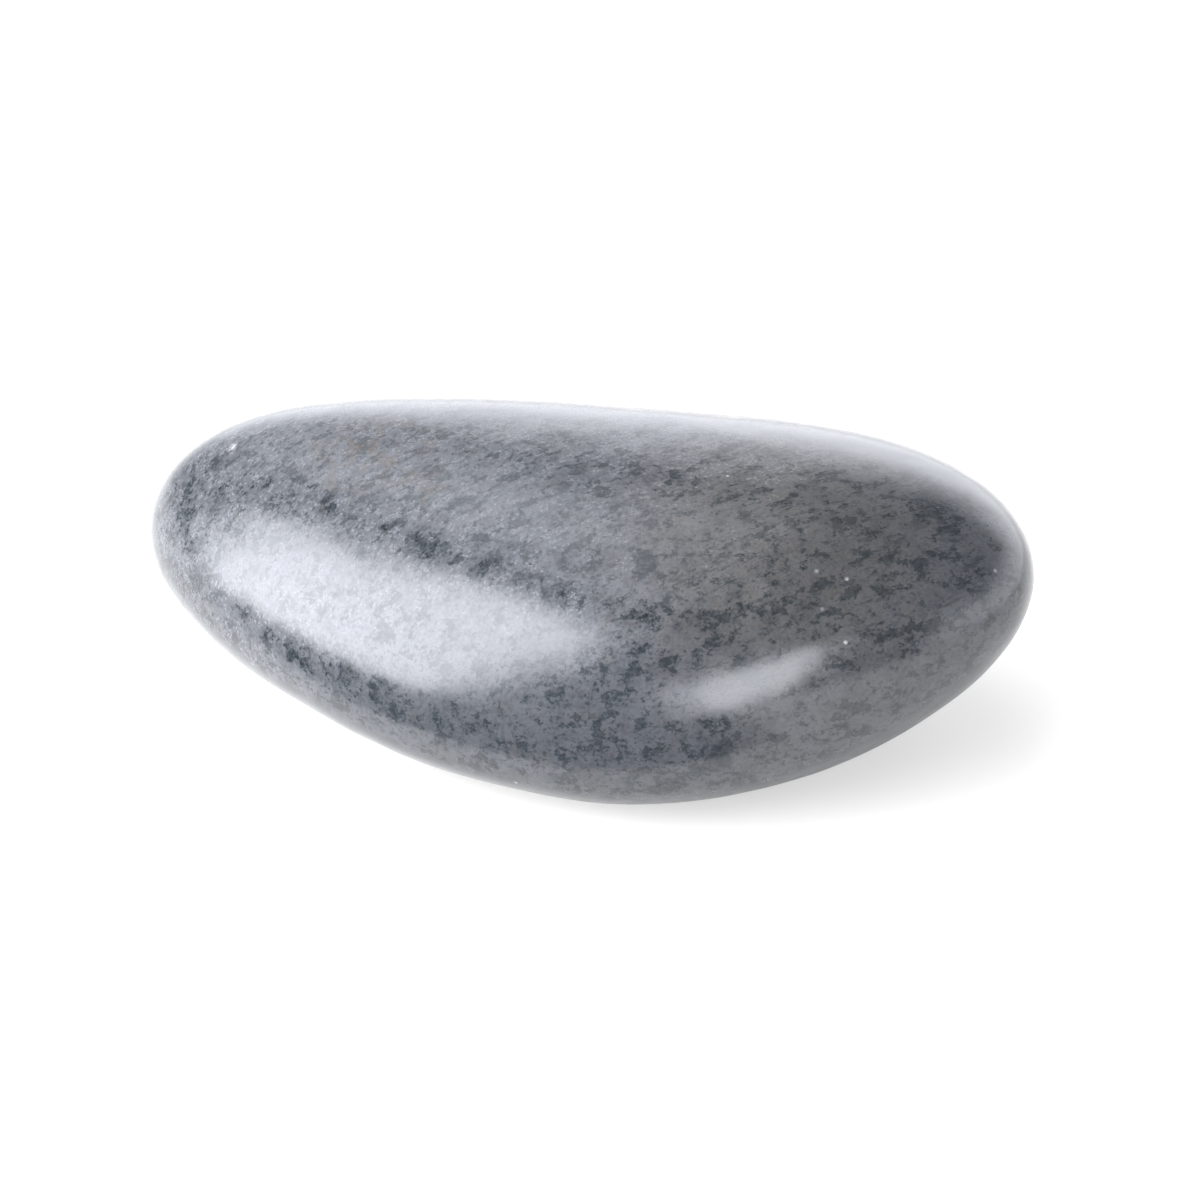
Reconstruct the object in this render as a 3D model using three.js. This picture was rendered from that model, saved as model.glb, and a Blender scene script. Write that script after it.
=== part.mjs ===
// River pebble: one block of fine dark stone that a river has worn smooth.
// Millimetres, +Z up. The long way of the stone lies along X, and its two bright shoulders face -Y.
// The origin lies in the plane of the resting face, under the middle of the stone's box.

import * as THREE from "three";
import { mergeVertices } from "three/addons/utils/BufferGeometryUtils.js";

// Faces that the block had before it was worn. Each looks along its azimuth, in degrees from +X
// towards +Y, and its elevation above the horizontal, and lies at its distance in millimetres from
// the middle of the block.
const FACES = [
  { name: "top", azimuth: 0, elevation: 90, distance: 12.5 },
  { name: "underside", azimuth: 0, elevation: -90, distance: 11.5 },
  { name: "back", azimuth: 90, elevation: 10, distance: 16 },
  { name: "upper back", azimuth: 90, elevation: 40, distance: 16 },
  { name: "lower back", azimuth: 90, elevation: -45, distance: 18.5 },
  { name: "back left", azimuth: 130, elevation: 5, distance: 33.5 },
  { name: "lower left", azimuth: 220, elevation: -50, distance: 23 },
  { name: "left shoulder", azimuth: 230, elevation: 45, distance: 19 },
  { name: "left front corner", azimuth: 245, elevation: -10, distance: 35.5 },
  { name: "left front", azimuth: 260, elevation: -5, distance: 25 },
  { name: "right front", azimuth: 280, elevation: 0, distance: 29 },
  { name: "right shoulder", azimuth: 280, elevation: 45, distance: 19 },
  { name: "right front foot", azimuth: 285, elevation: -20, distance: 35 },
  { name: "lower right", azimuth: 330, elevation: -50, distance: 21.5 },
  { name: "right end", azimuth: 0, elevation: 0, distance: 41 },
  { name: "back right", azimuth: 40, elevation: 15, distance: 27.5 },
];

// How crisply neighbouring faces still meet: 2 is worn round as a ball, 20 is a fresh block.
const CRISPNESS = 4.5;

// The stone rests on a rubbed flat, this far below its middle, with a narrow soft rim.
const REST_DROP = 11;
const RIM = 0.15;

// Half sizes of the rounded box whose directions the surface points take, so that they lie evenly,
// and the number of grid squares along each of its edges.
const HALF_SIZES = new THREE.Vector3(35, 18, 12);
const SQUARES = 22;

const STONE_COLOUR = new THREE.Color(0x6f7378);
const STONE_ROUGHNESS = 0.35;

function outwardNormal({ azimuth, elevation }) {
  const fromPole = THREE.MathUtils.degToRad(90 - elevation);
  const turn = THREE.MathUtils.degToRad(azimuth);
  return new THREE.Vector3(
    Math.sin(fromPole) * Math.cos(turn),
    Math.sin(fromPole) * Math.sin(turn),
    Math.cos(fromPole),
  );
}

const PLANES = FACES.map((face) => outwardNormal(face).divideScalar(face.distance));

// Moves a point along its ray from the middle onto the worn surface. Against each face in front of
// it the point stands at some share of the face's distance. The surface is where the shares, each
// to the power CRISPNESS, add up to one, which rounds every edge by as much as its faces allow.
function wearDown(point) {
  const sum = PLANES.reduce((total, plane) => total + Math.max(0, point.dot(plane)) ** CRISPNESS, 0);
  return point.multiplyScalar(sum ** (-1 / CRISPNESS));
}

// Height above the resting plane, once all that was below it is rubbed away. Within RIM of the
// plane a parabola joins the flat to the side.
function rubbedHeight(height) {
  if (height <= -RIM) return 0;
  if (height < RIM) return (height + RIM) ** 2 / (4 * RIM);
  return height;
}

// A closed grid without poles: a cube's grid, its lines spread evenly by angle, blown up to a ball,
// stretched to the stone's proportions and worn down.
function pebbleGeometry() {
  const grid = new THREE.BoxGeometry(2, 2, 2, SQUARES, SQUARES, SQUARES);
  grid.deleteAttribute("normal");
  grid.deleteAttribute("uv");
  const geometry = mergeVertices(grid);
  const position = geometry.getAttribute("position");
  const point = new THREE.Vector3();
  const evenly = (side) => Math.tan((side * Math.PI) / 4);
  for (let i = 0; i < position.count; i++) {
    point.fromBufferAttribute(position, i);
    point.set(evenly(point.x), evenly(point.y), evenly(point.z)).normalize();
    wearDown(point.multiply(HALF_SIZES));
    position.setXYZ(i, point.x, point.y, rubbedHeight(point.z + REST_DROP));
  }
  return geometry;
}

// Puts the middle of the geometry's box over the origin, and leaves its heights as they are.
function centreOverOrigin(geometry) {
  geometry.computeBoundingBox();
  const middle = geometry.boundingBox.getCenter(new THREE.Vector3());
  geometry.translate(-middle.x, -middle.y, 0);
  geometry.computeVertexNormals();
  return geometry;
}

const pebble = new THREE.Mesh(
  centreOverOrigin(pebbleGeometry()),
  new THREE.MeshStandardMaterial({
    color: STONE_COLOUR,
    roughness: STONE_ROUGHNESS,
    metalness: 0,
  }),
);
pebble.name = "pebble";

const group = new THREE.Group();
group.add(pebble);

export default group;
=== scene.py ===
# %% [markdown]
# A river pebble in Blender
#
# The stone is one worn block of fine dark rock. The solid model gives its true size and place.
# This script makes its fine surface, its polished grainy finish, and a small studio round it.
# The first cell loads the solid model.

# %% Load the solid model
import math

import bpy
import numpy as np
from mathutils import Matrix


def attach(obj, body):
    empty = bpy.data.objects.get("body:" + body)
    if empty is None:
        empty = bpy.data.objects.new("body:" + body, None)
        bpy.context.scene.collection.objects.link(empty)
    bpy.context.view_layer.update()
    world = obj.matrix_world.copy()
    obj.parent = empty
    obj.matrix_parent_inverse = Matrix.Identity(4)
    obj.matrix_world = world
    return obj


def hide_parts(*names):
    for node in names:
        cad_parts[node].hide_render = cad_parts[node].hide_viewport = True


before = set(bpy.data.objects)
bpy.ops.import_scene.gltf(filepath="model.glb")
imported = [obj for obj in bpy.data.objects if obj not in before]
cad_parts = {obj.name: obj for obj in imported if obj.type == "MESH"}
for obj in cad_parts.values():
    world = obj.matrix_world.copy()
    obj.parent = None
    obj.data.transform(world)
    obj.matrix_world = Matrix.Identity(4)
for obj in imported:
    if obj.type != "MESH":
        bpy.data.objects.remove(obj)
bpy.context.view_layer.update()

MM = 0.001  # lengths below are in millimetres, and Blender's are in metres

# %% [markdown]
# The worn block
#
# A river pebble starts as a broken block with flat faces, and every edge and corner is ground
# off as it rolls. Sculpting such a shape by hand, or inflating a ball with noise, gives a lump
# with no story. Here the story is the formula: the block's faces are listed, each by the way it
# looks and its distance from the middle, and one number says how far the edges are worn. The
# list is the same as in the solid model, so the fine surface lies on the solid's facets.

# %% The faces of the block
# Azimuth in degrees from +X towards +Y, elevation above the horizontal, distance in millimetres.
FACES = {
    "top": (0, 90, 12.5),
    "underside": (0, -90, 11.5),
    "back": (90, 10, 16),
    "upper back": (90, 40, 16),
    "lower back": (90, -45, 18.5),
    "back left": (130, 5, 33.5),
    "lower left": (220, -50, 23),
    "left shoulder": (230, 45, 19),
    "left front corner": (245, -10, 35.5),
    "left front": (260, -5, 25),
    "right front": (280, 0, 29),
    "right shoulder": (280, 45, 19),
    "right front foot": (285, -20, 35),
    "lower right": (330, -50, 21.5),
    "right end": (0, 0, 41),
    "back right": (40, 15, 27.5),
}


def looking(azimuth, elevation):
    """Unit vectors that look along azimuth and elevation, both in degrees."""
    turn, rise = np.radians(azimuth), np.radians(elevation)
    return np.stack([np.cos(rise) * np.cos(turn), np.cos(rise) * np.sin(turn), np.sin(rise)], -1)


azimuths, elevations, distances = np.array(list(FACES.values()), float).T
PLANES = looking(azimuths, elevations) / distances[:, None]
print(len(FACES), "faces, the nearest", distances.min(), "mm from the middle")

# %% Wearing the block down
CRISPNESS = 4.5  # how crisply faces still meet: 2 is round as a ball, 20 a fresh block


def wear_down(points):
    """Moves points along their rays from the middle onto the worn surface, and gives its normals.

    Against each face in front of it, a point stands at some share of the face's distance. The
    surface is where the shares, each to the power CRISPNESS, add up to one. The normal is the
    sum of the faces' normals over their distances, each times its share to the power CRISPNESS
    less one, brought to length one.
    """
    shares = np.maximum(points @ PLANES.T, 0)
    reach = (shares**CRISPNESS).sum(1) ** (-1 / CRISPNESS)
    slopes = shares ** (CRISPNESS - 1) @ PLANES
    normals = slopes / np.linalg.norm(slopes, axis=1, keepdims=True)
    return points * reach[:, None], normals


highest = wear_down(looking(0, 90)[None])[0][0, 2]
print("straight up, the worn surface lies", highest.round(2), "mm from the middle")

# %% The rubbed flat
REST_DROP = 11  # the flat that the stone rests on lies this far below the middle
RIM = 0.15  # half the height over which the flat's rim is softened


def rub_flat(heights):
    """Heights over the resting plane, with what lay below it rubbed away and a soft rim.

    Within RIM of the plane a parabola, (height + RIM) squared over 4 RIM, joins flat and side.
    """
    rim = (heights + RIM) ** 2 / (4 * RIM)
    return np.where(heights <= -RIM, 0, np.where(heights < RIM, rim, heights))


print("a point on the resting plane is lifted by", rub_flat(0.0), "mm, to soften the rim")

# %% [markdown]
# A grid with no poles
#
# A globe's grid crowds at its two poles, which shows as a pinch in a glossy stone. The grid of
# a cube, blown up to a ball, has no poles. Its lines are spread by angle, and corner points that
# two sides of the cube share are found by their whole-number places, so the seams close exactly.

# %% The grid of a cube
SQUARES = 126  # along each edge of the cube, which keeps the stone under 200,000 triangles


def cube_grid(squares):
    """Whole-number points on a cube's six sides, welded along its edges, and outward squares."""
    steps = np.arange(squares + 1)
    u, v = (side.ravel() for side in np.meshgrid(steps, steps, indexing="ij"))
    number = np.arange(u.size).reshape(squares + 1, squares + 1)
    ring = [number[:-1, :-1], number[1:, :-1], number[1:, 1:], number[:-1, 1:]]
    quads = np.stack([corner.ravel() for corner in ring], -1)
    points, corners = [], []
    for axis in range(3):
        for level, outward in ((squares, quads), (0, quads[:, ::-1])):
            side = np.empty((u.size, 3), int)
            side[:, axis], side[:, (axis + 1) % 3], side[:, (axis + 2) % 3] = level, u, v
            corners.append(outward + len(points) * u.size)
            points.append(side)
    welded, place = np.unique(np.concatenate(points), axis=0, return_inverse=True)
    return welded, place.ravel()[np.concatenate(corners)]


lattice, quads = cube_grid(SQUARES)
spread = np.tan((2 * lattice / SQUARES - 1) * math.pi / 4)
ball = spread / np.linalg.norm(spread, axis=1, keepdims=True)
print(len(lattice), "points,", 2 * len(quads), "triangles")

# %% [markdown]
# Relief that the river left
#
# Wear is never even. The sides have slow swells, left where softer layers wore faster, and small
# shallow dents, where the stone was knocked by others. Both bend the reflections, which is how
# the eye tells a stone from a moulded copy, so they are real relief in the mesh. The swells are
# sums of a few plane waves, which stay smooth at any scale, and the dents are round hollows.

# %% Swells
# Wavelength, height and seed of each family of waves.
SWELLS = ((15, 0.05, 3), (7, 0.012, 5), (3, 0.005, 8))
WAVES = 14  # waves in each family


def swell(points, wavelength, seed):
    """The sum of WAVES cosine waves in random directions and phases, over the root of WAVES."""
    draw = np.random.default_rng(seed)
    ways = draw.normal(size=(WAVES, 3))
    ways /= np.linalg.norm(ways, axis=1, keepdims=True)
    phases = draw.uniform(0, 2 * math.pi, WAVES)
    return np.cos(points @ ways.T * (2 * math.pi / wavelength) + phases).mean(1) * math.sqrt(WAVES)


HALF_SIZES = np.array([35, 18, 12])  # the ball is stretched by these, so the squares lie evenly
smooth, normals = wear_down(ball * HALF_SIZES)
swells = sum(height * swell(smooth, wavelength, seed) for wavelength, height, seed in SWELLS)
print("swells from", swells.min().round(2), "to", swells.max().round(2), "mm")

# %% Dents
DENTS = 60
DENT_WIDTHS = (0.7, 1.9)  # from the middle of a dent to its rim
DENT_SLOPE = 0.025  # depth over width
DENT_SEED = 11


def dents(points):
    """Depth of round hollows about random points: depth times exp(-(distance over width)^2)."""
    draw = np.random.default_rng(DENT_SEED)
    middles = points[draw.choice(len(points), DENTS, replace=False)]
    widths = draw.uniform(*DENT_WIDTHS, DENTS)
    depth = np.zeros(len(points))
    for middle, width in zip(middles, widths):
        away = np.linalg.norm(points - middle, axis=1) / width
        depth += DENT_SLOPE * width * np.exp(-(away**2))
    return depth


relief = swells - dents(smooth)
print("relief with dents from", relief.min().round(2), "to", relief.max().round(2), "mm")

# %% The fine surface
surface = smooth + relief[:, None] * normals
surface[:, 2] = rub_flat(surface[:, 2] + REST_DROP)
middle_of_box = (smooth.min(0) + smooth.max(0)) / 2
surface[:, :2] -= middle_of_box[:2]
print("fine pebble in mm:", np.round(surface.max(0) - surface.min(0), 1))

# %% The pebble's mesh


def mesh_piece(name, points, corners):
    """A new object at the origin, with its points in metres and its faces smooth shaded."""
    mesh = bpy.data.meshes.new(name)
    mesh.from_pydata((points * MM).tolist(), [], corners.tolist())
    mesh.polygons.foreach_set("use_smooth", np.ones(len(corners), bool))
    mesh.update()
    piece = bpy.data.objects.new(name, mesh)
    bpy.context.scene.collection.objects.link(piece)
    return piece


pebble = mesh_piece("pebble_stone", surface, quads)
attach(pebble, "root")
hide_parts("pebble")
print("made", pebble.name, "with", len(pebble.data.polygons), "faces")

# %% [markdown]
# Writing shader maths as Python
#
# Node trees are hard to read in code when every node takes five lines. Here a Value wraps one
# socket, and Python's operators on Values add the Math nodes. Every other node comes from one
# method of the finish, which is given the node's type, its settings and its sockets.

# %% Values


class Value:
    """One output socket of a finish. Operators on it add Math nodes."""

    def __init__(self, finish, socket):
        self.finish, self.socket = finish, socket

    def math(self, operation, first, second=0.0, clamp=False):
        settings = {"operation": operation, "use_clamp": clamp}
        return self.finish.node("ShaderNodeMath", settings, {0: first, 1: second})

    def __add__(self, other):
        return self.math("ADD", self, other)

    def __sub__(self, other):
        return self.math("SUBTRACT", self, other)

    def __rsub__(self, other):
        return self.math("SUBTRACT", other, self)

    def __mul__(self, other):
        return self.math("MULTIPLY", self, other)

    def clamped(self):
        return self.math("ADD", self, 0.0, clamp=True)

    __radd__, __rmul__ = __add__, __mul__


# %% Finishes


class Finish:
    """A material or world, whose nodes are made by one method."""

    def __init__(self, owner):
        owner.use_nodes = True
        self.owner, self.tree = owner, owner.node_tree
        self.tree.nodes.clear()

    def node(self, kind, settings=None, sockets=None, output=0):
        """Adds a node, sets its settings, then its sockets' values or links. Gives one output."""
        made = self.tree.nodes.new(kind)
        for name, value in (settings or {}).items():
            setattr(made, name, value)
        for name, value in (sockets or {}).items():
            if isinstance(value, Value):
                self.tree.links.new(value.socket, made.inputs[name])
            else:
                made.inputs[name].default_value = value
        return Value(self, made.outputs[output]) if made.outputs else made

    def between(self, value, start, end):
        """0 below start, 1 above end, and a smooth step between them."""
        sockets = {"Value": value, "From Min": start, "From Max": end}
        return self.node("ShaderNodeMapRange", {"interpolation_type": "SMOOTHSTEP"}, sockets)

    def along(self, vector, way):
        """How far a vector reaches along a way: their dot product."""
        settings = {"operation": "DOT_PRODUCT"}
        return self.node("ShaderNodeVectorMath", settings, {0: vector, 1: tuple(way)}, output="Value")

    def mix(self, factor, first, second, blend="MIX"):
        """A colour that goes from the first to the second as the factor goes from 0 to 1.

        With the blend MULTIPLY it goes from the first to the product of the two.
        """
        settings = {"data_type": "RGBA", "blend_type": blend}
        return self.node("ShaderNodeMix", settings, {0: factor, 6: first, 7: second}, output=2)


stone = Finish(bpy.data.materials.new("worn_dark_stone"))
object_place = stone.node("ShaderNodeTexCoord", output="Object")
print("started the finish", stone.owner.name)

# %% [markdown]
# The patterns in the rock
#
# The rock is fine grained, like basalt: pale crystals in a dark ground, flecks and clots of darker
# minerals that are drawn out along the rock's grain, a slow drift between blue-grey and
# brown-grey, and a few white specks, some of them painted glints. Painted shade darkens the pits
# and the stone's lower right. All this could be painted on an unwrapped skin, but a stone is the
# same all through, so solid textures that the surface cuts are truer, and they need no seams.
# Each pattern is a number from 0 to 1 at every place in the rock, and has a shift of its own, so
# that no two patterns line up.

# %% Clouds along the rock's grain
GRAIN_AZIMUTH = 32  # the way the clots are drawn out, in degrees from +X towards +Y


def rock_place(along, shift):
    """Places in the rock in millimetres, drawn out along the grain, at a shift of their own."""
    turn, scale = (0, 0, math.radians(GRAIN_AZIMUTH)), (MM * along, MM, MM)
    sockets = {"Vector": object_place, "Location": (shift * MM, 0, 0), "Rotation": turn, "Scale": scale}
    return stone.node("ShaderNodeMapping", {"vector_type": "TEXTURE"}, sockets)


def cloud(size, detail, roughness, along=1.0, shift=0.0):
    """Cloudy noise from 0 to 1 whose blobs are about size millimetres across the grain."""
    place = rock_place(along, shift)
    sockets = {"Vector": place, "Scale": 1 / size, "Detail": detail, "Roughness": roughness}
    return stone.node("ShaderNodeTexNoise", None, sockets)


def patches(size, detail, roughness, start, full, along=1.0, shift=0.0):
    """Patches of cloud: 0 where the cloud is below start, and 1 where it is above full."""
    return stone.between(cloud(size, detail, roughness, along, shift), start, full)


def cell_tone(size, shift=0.0):
    """A random tone from 0 to 1 for every cell, each about size millimetres across."""
    cells = {"Vector": rock_place(1.0, shift), "Scale": 1 / size}
    cell_colour = stone.node("ShaderNodeTexVoronoi", None, cells, output="Color")
    return stone.node("ShaderNodeSeparateColor", None, {"Color": cell_colour}, output="Red")


crystals = cell_tone(0.2)
grains = patches(size=0.45, detail=3.0, roughness=0.8, start=0.25, full=0.75)
mottle = patches(size=1.5, detail=3.0, roughness=0.65, start=0.38, full=0.62, along=1.3, shift=83.0)
print("crystals, grains and mottle take", len(stone.tree.nodes), "nodes")

# %% Flecks, streaks and clots of dark mineral
flecks = patches(size=0.5, detail=2.0, roughness=0.7, start=0.57, full=0.68, along=1.3, shift=17.0)
streaks = patches(size=0.6, detail=2.0, roughness=0.7, start=0.56, full=0.66, along=3.0, shift=31.0)
clots = patches(size=1.3, detail=4.0, roughness=0.75, start=0.53, full=0.59, along=1.4, shift=47.0)
print("with the dark minerals,", len(stone.tree.nodes), "nodes")

# %% [markdown]
# Marks that have a place of their own
#
# Most of the grain is chance, and any other grain of the same kind looks as true. A few marks are
# large or bright enough to be noticed one by one: dark blotches, pale specks, some of them painted
# glints, a pit darkened with painted shade, and a rusty stain. Each is a soft ball about its own
# place in the stone, with a radius, both in millimetres.
# A blotch's edge is made ragged by the grain that it lies in, because a clean disc looks drawn.

# %% Dark blotches
BLOTCHES = (
    ((-27.6, 0.9, 15.6), 1.3),
    ((-28.1, -2.4, 11), 1.2),
    ((-14.2, -12.8, 10.3), 1.2),
    ((-3.5, -10.4, 19.4), 0.8),
    ((1.1, -2.3, 22.8), 0.9),
    ((0.3, -4.5, 22.3), 0.7),
    ((7.5, -11.2, 20.1), 0.8),
    ((13.5, -17.4, 8.4), 1.8),
    ((10.1, -17.5, 5.7), 1.5),
    ((28, -1.5, 21.7), 2.5),
)
BLOTCH_REACH = 1.6  # how far a blotch's soft ball reaches, in radii
RAGGEDNESS = 0.8  # how far the grain moves a blotch's edge in and out
BLOTCH_EDGE = (0.45, 0.85)  # where the ragged edge starts and ends, from 0 outside to 1 inside


def near(place, radius):
    """1 at a place on the stone, given in mm, and 0 from a radius away."""
    sockets = {0: object_place, 1: tuple(np.array(place) * MM)}
    away = stone.node("ShaderNodeVectorMath", {"operation": "DISTANCE"}, sockets, output="Value")
    return 1 - stone.between(away, 0.0, radius * MM)


balls = sum(near(place, BLOTCH_REACH * radius) for place, radius in BLOTCHES)
blotches = stone.between(balls + (grains + mottle - 1.0) * RAGGEDNESS, *BLOTCH_EDGE)
print(len(BLOTCHES), "blotches, the largest", max(radius for place, radius in BLOTCHES), "mm in radius")

# %% Pits with painted shade, and pale specks with painted glints
PIT = ((18.2, -7.3, 21.5), 0.45)
# Pale specks, some of them painted glints, each a place and a radius in mm.
PLACED_SPECKS_AND_GLINTS = (
    ((-27.2, 5.5, 18.5), 0.6),
    ((-24.2, 1.4, 18.2), 0.24),
    ((19.6, -10.3, 19.9), 0.24),
    ((21.8, -10.4, 19.5), 0.24),
    ((20.3, -12.4, 18), 0.24),
    ((22.1, -13.5, 16.1), 0.24),
    ((32.2, -6.2, 18.8), 0.24),
)
SPOT_EDGE = (0.6, 1.2)  # where a spot's soft edge starts and ends, in radii
CHOICE_EDGE = 0.01  # half the band of tones over which a cell goes from bare to spotted
DULLEST_SPECK_AND_GLINT = 0.35
SPECK_AND_GLINT_VARIETY = 0.8  # how much brighter a speck and a painted glint are on the palest crystal


def spots(size, share, radius, shift):
    """1 inside round spots: cells of about size millimetres, a share of which holds a spot."""
    cells = {"Vector": rock_place(1.0, shift), "Scale": 1 / size}
    away = stone.node("ShaderNodeTexVoronoi", None, cells, output="Distance")
    within = 1 - stone.between(away, SPOT_EDGE[0] * radius / size, SPOT_EDGE[1] * radius / size)
    chosen = stone.between(cell_tone(size, shift), 1 - share - CHOICE_EDGE, 1 - share + CHOICE_EDGE)
    return within * chosen


# The pits are hollows in the relief, and their darkness in the colour is painted shade.
pits_with_painted_shade = (spots(size=2.6, share=0.2, radius=0.14, shift=91.0) + near(*PIT)).clamped()
# Painted glints: small white spots in the colour, joined by the placed specks.
painted_glints_and_specks = spots(size=2.8, share=0.3, radius=0.12, shift=5.0)
painted_glints_and_specks = painted_glints_and_specks + sum(near(place, radius) for place, radius in PLACED_SPECKS_AND_GLINTS)
specks_and_painted_glints = (painted_glints_and_specks * (DULLEST_SPECK_AND_GLINT + crystals * SPECK_AND_GLINT_VARIETY)).clamped()
print(len(PLACED_SPECKS_AND_GLINTS), "placed specks, and", len(stone.tree.nodes), "nodes so far")

# %% Slow drifts, rust and painted shade
RUST_PATCHES = (((-15, 1, 21), 7), ((-10, -3.7, 21), 3))
WARM_PATCH = ((17, -8, 21), 18)
WARM_SHARE = 0.35  # how much of the warm tint lies outside its patch
PAINTED_SHADE_WAY = (0.4, 0, -0.9)  # painted shade: the colour is darker and calmer this way, at the stone's lower right
PAINTED_SHADE_EDGE = (-15.5, -7)  # the painted shade fades in between these distances along its way
PAINTED_SHADE_WAVER = 4  # its edge wavers by this many millimetres

drift = patches(size=9.0, detail=2.0, roughness=0.5, start=0.35, full=0.65, shift=59.0)
warmth = patches(size=1.4, detail=4.0, roughness=0.7, start=0.42, full=0.66, shift=73.0)
rust = (sum(near(place, radius) for place, radius in RUST_PATCHES) * warmth).clamped()
warm = (near(*WARM_PATCH) + warmth * WARM_SHARE).clamped()
# Painted shade: the colour grows darker and its grain calmer towards the stone's lower right, where less
# light falls.
depth_into_painted_shade = stone.along(object_place, PAINTED_SHADE_WAY) + drift * (PAINTED_SHADE_WAVER * MM)
painted_shade = stone.between(depth_into_painted_shade, PAINTED_SHADE_EDGE[0] * MM, PAINTED_SHADE_EDGE[1] * MM)
print("all patterns take", len(stone.tree.nodes), "nodes")

# %% [markdown]
# From patterns to colour and gloss
#
# The dark minerals and the painted shade of the pits add up to one darkness, and the crystals,
# grains and mottle to one paleness, which the darkness and the painted shade at the stone's lower
# right lower. A soft shoulder, which multiplies the paleness by 1.2 less 0.45 of itself, keeps the
# palest crystals from looking like frost. Polish takes the dark ground better than the pale
# crystals, so the paleness also sets the roughness. In a highlight the two work against each
# other, because a pale crystal mirrors less and scatters more, and so the highlight stays calm.

# %% How dark and how pale
FLECK_DARKNESS = 0.7
STREAK_DARKNESS = 0.5
CLOT_DARKNESS = 0.9
BLOTCH_DARKNESS = 0.8
CRYSTALS_IN_DARK = 0.45  # how far crystals break up the dark minerals
CRYSTAL_SHARE, GRAIN_SHARE, MOTTLE_SHARE = 0.3, 0.4, 0.3
MEAN_PALENESS = 0.47
CONTRAST = 0.95
PAINTED_SHADE_CALM = 0.45  # contrast that the painted shade takes away
PAINTED_SHADE_DIMMING = 0.27  # paleness that the painted shade takes away, as a share
DARK_SHADE = 0.6  # paleness that the dark minerals and the pits' painted shade take away, as a share
SHOULDER_LIFT, SHOULDER_BEND = 1.2, 0.45

minerals = flecks * FLECK_DARKNESS + streaks * STREAK_DARKNESS + clots * CLOT_DARKNESS
minerals = (minerals + blotches * BLOTCH_DARKNESS).clamped()
# The darkness holds the dark minerals and the painted shade in the pits.
dark = (minerals * (1 - crystals * CRYSTALS_IN_DARK) + pits_with_painted_shade).clamped()
tone = crystals * CRYSTAL_SHARE + grains * GRAIN_SHARE + mottle * MOTTLE_SHARE
# Painted shade lowers the paleness and the contrast at the stone's lower right.
pale = MEAN_PALENESS + (tone - 0.5) * (CONTRAST - painted_shade * PAINTED_SHADE_CALM)
pale = (pale * (1 - painted_shade * PAINTED_SHADE_DIMMING) * (1 - dark * DARK_SHADE)).clamped()
pale = pale * (SHOULDER_LIFT - pale * SHOULDER_BEND)
print("with dark and pale,", len(stone.tree.nodes), "nodes")

# %% Colour
GROUND = (0.010, 0.013, 0.016, 1)
CRYSTAL = (0.113, 0.118, 0.128, 1)
WARM_TINT = (1.0, 0.915, 0.81, 1)
RUST = (0.052, 0.036, 0.026, 1)
# The clots' dark blue, also used as the painted shade in the pits.
CLOT_AND_PIT_SHADE_BLUE = (0.008, 0.012, 0.015, 1)
SPECK_AND_GLINT_WHITE = (0.3, 0.3, 0.3, 1)
RUST_STRENGTH = 0.7
DARK_STRENGTH = 0.85
PAINTED_SHADE_THINNING = 0.3  # how much weaker the dark minerals' blue is in the painted shade
SPECK_AND_GLINT_STRENGTH = 0.8

colour = stone.mix(pale, GROUND, CRYSTAL)
colour = stone.mix(warm, colour, WARM_TINT, blend="MULTIPLY")
colour = stone.mix(rust * RUST_STRENGTH, colour, RUST)
# Painted shade: the pits take the clots' dark blue.
colour = stone.mix(dark * (DARK_STRENGTH - painted_shade * PAINTED_SHADE_THINNING), colour, CLOT_AND_PIT_SHADE_BLUE)
# White specks in the colour, partly pale mineral and partly painted glints.
colour = stone.mix(specks_and_painted_glints * SPECK_AND_GLINT_STRENGTH, colour, SPECK_AND_GLINT_WHITE)
print("a crystal is", round(CRYSTAL[1] / GROUND[1], 1), "times as bright as the ground")

# %% Gloss and micro relief
IOR = 1.5
POLISH = 0.13  # roughness of the dark ground
CRYSTAL_MATT = 0.24  # how much rougher the palest crystals are
GRAIN_RELIEF = 0.003  # height in mm between the lowest and highest grains
PIT_DEPTH = 8  # of the pits, in grain reliefs
SPECK_DEPTH = 4  # of the specks, in grain reliefs

heights = cloud(size=0.6, detail=1.0, roughness=0.5, shift=11.0) - pits_with_painted_shade * PIT_DEPTH - specks_and_painted_glints * SPECK_DEPTH
bump = {"Strength": 1.0, "Distance": GRAIN_RELIEF * MM, "Height": heights}
skin = {
    "Base Color": colour,
    "Roughness": POLISH + pale * CRYSTAL_MATT,
    "IOR": IOR,
    "Normal": stone.node("ShaderNodeBump", None, bump),
}
polished = stone.node("ShaderNodeBsdfPrincipled", None, skin)
stone.node("ShaderNodeOutputMaterial", None, {"Surface": polished})
pebble.data.materials.append(stone.owner)
print("stone finish with", len(stone.tree.nodes), "nodes")

# %% [markdown]
# The camera
#
# A long lens a quarter of a metre away, a little to the stone's right and 29 degrees above the
# table, keeps the stone's shape nearly undistorted, as product pictures of small things do.

# %% Camera
TARGET = np.array([2.0, 2.7, 8.95])  # the point in the middle of the picture
CAMERA_AZIMUTH = -90 + 8.8  # straight in front is -90
CAMERA_ELEVATION = 29
CAMERA_DISTANCE = 256.4
LENS = 100  # focal length
SENSOR_WIDTH = 36
NEAREST_SEEN = 10

camera = bpy.data.objects.new("camera", bpy.data.cameras.new("camera"))
camera.data.lens = LENS
camera.data.sensor_width = SENSOR_WIDTH
camera.data.clip_start = NEAREST_SEEN * MM
bpy.context.scene.collection.objects.link(camera)
bpy.context.scene.camera = camera


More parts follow.
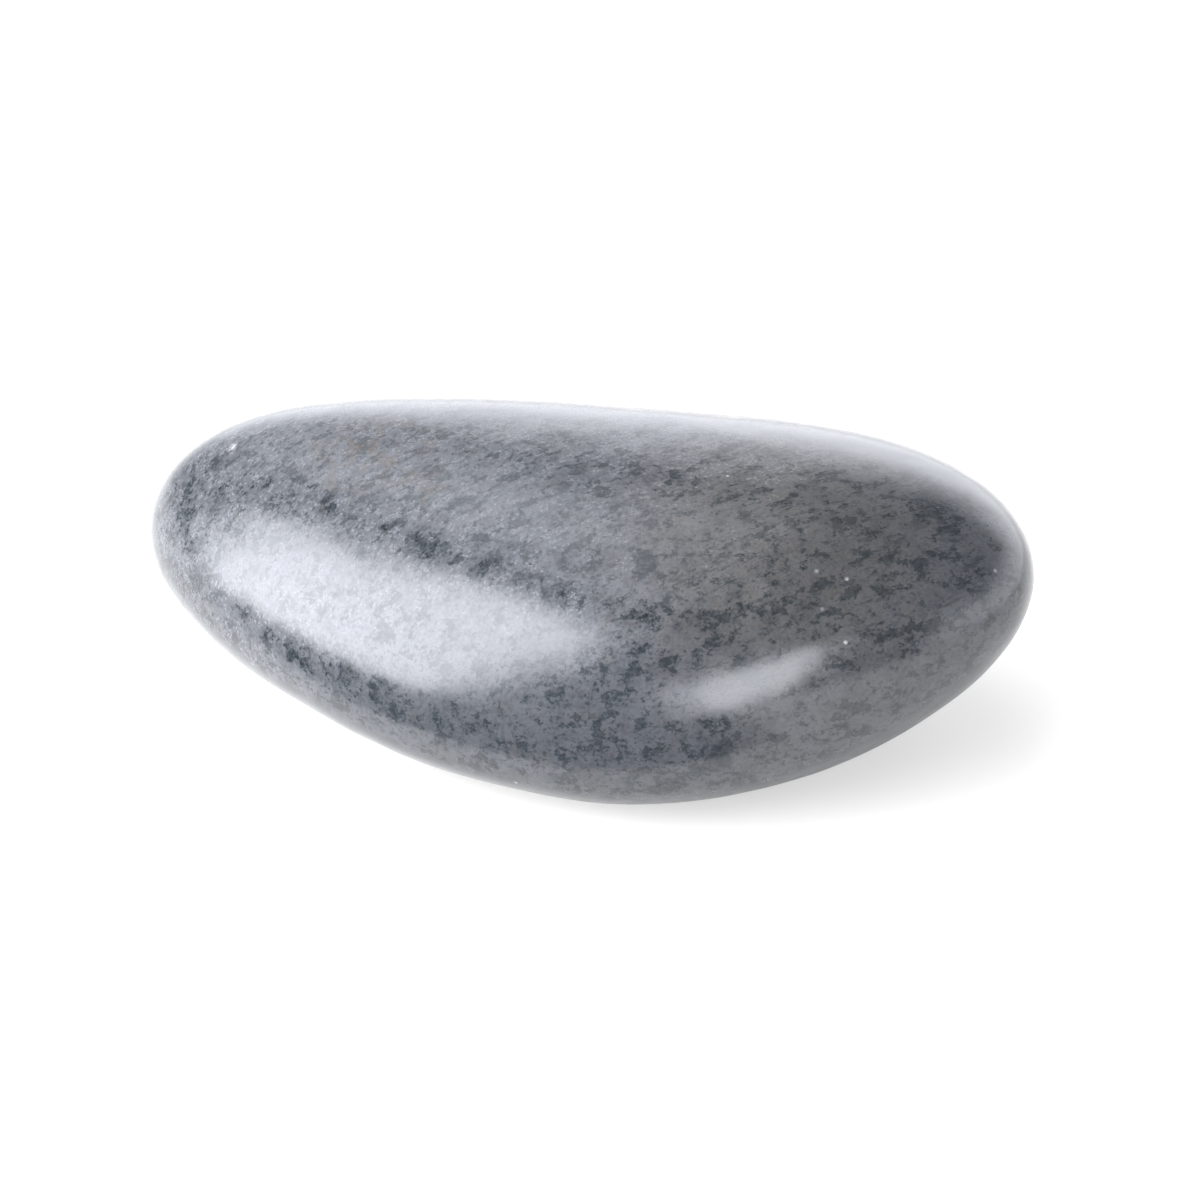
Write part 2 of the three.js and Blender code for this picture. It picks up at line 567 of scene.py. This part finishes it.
def aim(thing, place, target, roll=0.0):
    """Puts a camera or panel at a place in mm, its -Z towards the target, rolled in degrees."""
    back = place - target
    back /= np.linalg.norm(back)
    level = np.cross([0, 0, 1], back)
    level /= np.linalg.norm(level)
    upright = np.cross(back, level)
    turn = math.radians(roll)
    right = level * math.cos(turn) + upright * math.sin(turn)
    up = upright * math.cos(turn) - level * math.sin(turn)
    axes = np.stack([right, up, back, place * MM], 1)
    thing.matrix_world = Matrix([*axes.tolist(), [0, 0, 0, 1]])


aim(camera, TARGET + CAMERA_DISTANCE * looking(CAMERA_AZIMUTH, CAMERA_ELEVATION), TARGET)
print("camera in m:", [round(number, 3) for number in camera.matrix_world.translation])

# %% [markdown]
# Two softboxes
#
# A polished stone is mostly a picture of its surroundings, so these matter as much as the finish.
# A large softbox low at the left makes the long highlight, and a narrow one in front makes the
# short one. Area lights would give plain rectangles. Here each panel's outline is a list of soft
# edges, as the stone's shape is a list of faces, so that its mirror image on the curved stone has
# the slanted, fading outline of a real highlight.

# %% Soft outlines


def inside(cloth, edges, fade):
    """1 within an outline and 0 outside it, on the plane of a flat sheet.

    Each edge looks along an angle in the plane, in degrees, at a distance in mm from the sheet's
    middle. It is the middle of a soft band that is fade wide.
    """
    here = cloth.node("ShaderNodeTexCoord", output="Object")
    share = 1.0
    for angle, distance in edges.values():
        out = cloth.along(here, looking(angle, 0))
        share = (1 - cloth.between(out, (distance - fade / 2) * MM, (distance + fade / 2) * MM)) * share
    return share


LEFT_EDGES = {
    "right": (0, 352),
    "upper right": (45, 380),
    "top": (90, 284),
    "upper left": (156, 348),
    "lower left": (200, 335),
    "bottom": (270, 222),
    "lower right": (318, 178),
}
FRONT_EDGES = {
    "right": (0, 50),
    "top": (90, 205),
    "upper left": (143, 97),
    "lower left": (213, 55),
    "bottom": (270, 150),
    "lower right": (333, 65),
}
print("outlines with", len(LEFT_EDGES), "and", len(FRONT_EDGES), "soft edges")

# %% Softboxes
STONE_MIDDLE = np.array([0, 0, 11.0])
SQUARE = np.array([[-1, -1, 0], [1, -1, 0], [1, 1, 0], [-1, 1, 0]])
BLACK = (0, 0, 0, 1)
DAYLIGHT = (0.95, 0.965, 1.03, 1)


def softbox(name, place, facing, roll, edges, fade, brightness):
    """A glowing panel round the stone, seen in reflections but not by the camera.

    Its place is an azimuth, elevation and distance from the stone, and it faces an azimuth and
    elevation. It glows inside the outline that its edges make.
    """
    middle = STONE_MIDDLE + place[2] * looking(*place[:2])
    reach = max(distance for angle, distance in edges.values()) + fade / 2
    panel = mesh_piece(name, SQUARE * reach, np.array([[3, 2, 1, 0]]))
    aim(panel, middle, middle + looking(*facing), roll)
    cloth = Finish(bpy.data.materials.new(name))
    tint = cloth.mix(inside(cloth, edges, fade), BLACK, DAYLIGHT)
    lit = cloth.node("ShaderNodeEmission", None, {"Color": tint, "Strength": brightness})
    cloth.node("ShaderNodeOutputMaterial", None, {"Surface": lit})
    panel.data.materials.append(cloth.owner)
    panel.visible_camera = panel.visible_shadow = False
    print(name, "is", round(2 * reach), "mm wide, and", place[2], "mm away")


softbox(
    "left_softbox",
    place=(215, 14, 430),
    facing=(35, -18),
    roll=12,
    edges=LEFT_EDGES,
    fade=160,
    brightness=13,
)
softbox(
    "front_softbox",
    place=(282.7, 9.1, 360),
    facing=(131, 21.8),
    roll=-2.6,
    edges=FRONT_EDGES,
    fade=40,
    brightness=11.6,
)

# %% [markdown]
# The table
#
# The stone's sides mirror the table, so it is a real pale sheet and not only a backdrop. For the
# camera the table glows: in a pool round the stone a painted glow lifts it halfway to white, which
# paints over half of the stone's shadow, so it stays as light as in a product picture. Outside the
# picture's own view the camera sees an even pale grey glow, so that a bright edge of the stone
# still shows from the other sides. A black card in front, out of the camera's sight, keeps the
# table's glare off the stone's lower left side, as a photographer's card does.

# %% Pale table
TABLE_REACH = 2500
PAPER = (0.93, 0.91, 0.86, 1)
PAPER_ROUGHNESS = 0.6
WHITE = (1, 1, 1, 1)
PALE_GREY = (0.62, 0.63, 0.65, 1)
POOL_EDGES = {"right": (9, 95), "far": (99, 210), "left": (189, 95), "near": (279, 92)}
POOL_FADE = 50
LIFT = 0.5  # how far the camera's view of the white pool is lifted to plain white

table = mesh_piece("table", SQUARE * TABLE_REACH, np.array([[0, 1, 2, 3]]))
paper = Finish(bpy.data.materials.new("pale_table"))
pool = inside(paper, POOL_EDGES, POOL_FADE)
sheen = paper.node("ShaderNodeBsdfPrincipled", None, {"Base Color": PAPER, "Roughness": PAPER_ROUGHNESS})
# Painted light: for camera rays the table glows, white in the pool round the stone and pale grey outside
# it.
bright = paper.node("ShaderNodeEmission", None, {"Color": paper.mix(pool, PALE_GREY, WHITE)})
seen = paper.node("ShaderNodeLightPath", output="Is Camera Ray")
lifted = paper.node("ShaderNodeMixShader", None, {0: seen * (1 - pool * (1 - LIFT)), 1: sheen, 2: bright})
paper.node("ShaderNodeOutputMaterial", None, {"Surface": lifted})
table.data.materials.append(paper.owner)
across = POOL_EDGES["left"][1] + POOL_EDGES["right"][1]
deep = POOL_EDGES["near"][1] + POOL_EDGES["far"][1]
print("table of", 2 * TABLE_REACH, "mm, with a white pool of", across, "by", deep, "mm")

# %% Black card
CARD_OUTLINE = ((-140, -300), (60, -300), (24, -28), (-14, -22), (-34, -12), (-140, -2))
CARD_HEIGHT = 0.3
FELT = (0.02, 0.02, 0.02, 1)

card_corners = np.insert(np.array(CARD_OUTLINE, float), 2, CARD_HEIGHT, axis=1)
black_card = mesh_piece("black_card", card_corners, np.arange(len(CARD_OUTLINE))[None])
felt = Finish(bpy.data.materials.new("black_felt"))
nap = felt.node("ShaderNodeBsdfDiffuse", None, {"Color": FELT})
felt.node("ShaderNodeOutputMaterial", None, {"Surface": nap})
black_card.data.materials.append(felt.owner)
black_card.visible_camera = black_card.visible_shadow = black_card.visible_diffuse = False
print("black card with", len(CARD_OUTLINE), "corners")

# %% [markdown]
# The room round the table
#
# What the softboxes and the table leave open, the stone mirrors from the room. A bright wall
# behind draws the light rim along the stone's back, and a glow overhead at the left lights the
# top, which darkens towards its right, where the room is dim. Each glow is a patch of the world
# about a direction, with a soft edge. The camera itself sees the room as plain pale grey, and the
# Standard view keeps white paper white, which the default view greys.

# %% Glows in the room
ROOM_GLOW = 0.1
OVERHEAD_GLOW = 2.8
BACKDROP_GLOW = 3.2
UPPER_LEFT_GLOW = 2.0
UPPER_BACK_GLOW = 1.1
HIGH_BACKDROP_GLOW = 0.5

room = Finish(bpy.data.worlds.new("room"))
bpy.context.scene.world = room.owner
way = room.node("ShaderNodeTexCoord", output="Generated")


def patch(azimuth, elevation, edge, full):
    """1 in a round patch of the room about a direction, and 0 outside it.

    The patch starts at the angle whose cosine is edge, and is full at the one whose cosine is full.
    """
    return room.between(room.along(way, looking(azimuth, elevation)), edge, full)


leftward = patch(180, 0, edge=-0.06, full=0.22)
upward = patch(0, 90, edge=0.3, full=0.72)
overhead = patch(182, 58, edge=0.66, full=0.92) * leftward * OVERHEAD_GLOW
backdrop = patch(45, 0, edge=-0.3, full=0.4) * (1 - upward) * BACKDROP_GLOW
upper_left = patch(238, 58, edge=0.95, full=0.995) * UPPER_LEFT_GLOW
upper_back = patch(122, 64, edge=0.93, full=0.995) * UPPER_BACK_GLOW
high_backdrop = patch(105, 28, edge=0.84, full=0.97) * HIGH_BACKDROP_GLOW
glow = ROOM_GLOW + overhead + upper_left + upper_back + backdrop + high_backdrop
print("the room's glows take", len(room.tree.nodes), "nodes")

# %% The room's light
COOL = (0.95, 0.97, 1.03)

cool = room.node("ShaderNodeVectorMath", {"operation": "SCALE"}, {0: COOL, "Scale": glow})
room_light = room.node("ShaderNodeBackground", None, {"Color": cool, "Strength": 1.0})
room_seen = room.node("ShaderNodeBackground", None, {"Color": PALE_GREY, "Strength": 1.0})
seen = room.node("ShaderNodeLightPath", output="Is Camera Ray")
room_shown = room.node("ShaderNodeMixShader", None, {0: seen, 1: room_light, 2: room_seen})
room.node("ShaderNodeOutputWorld", None, {"Surface": room_shown})
bpy.context.scene.view_settings.view_transform = "Standard"
print("world", bpy.context.scene.world.name, "with", len(room.tree.nodes), "nodes")
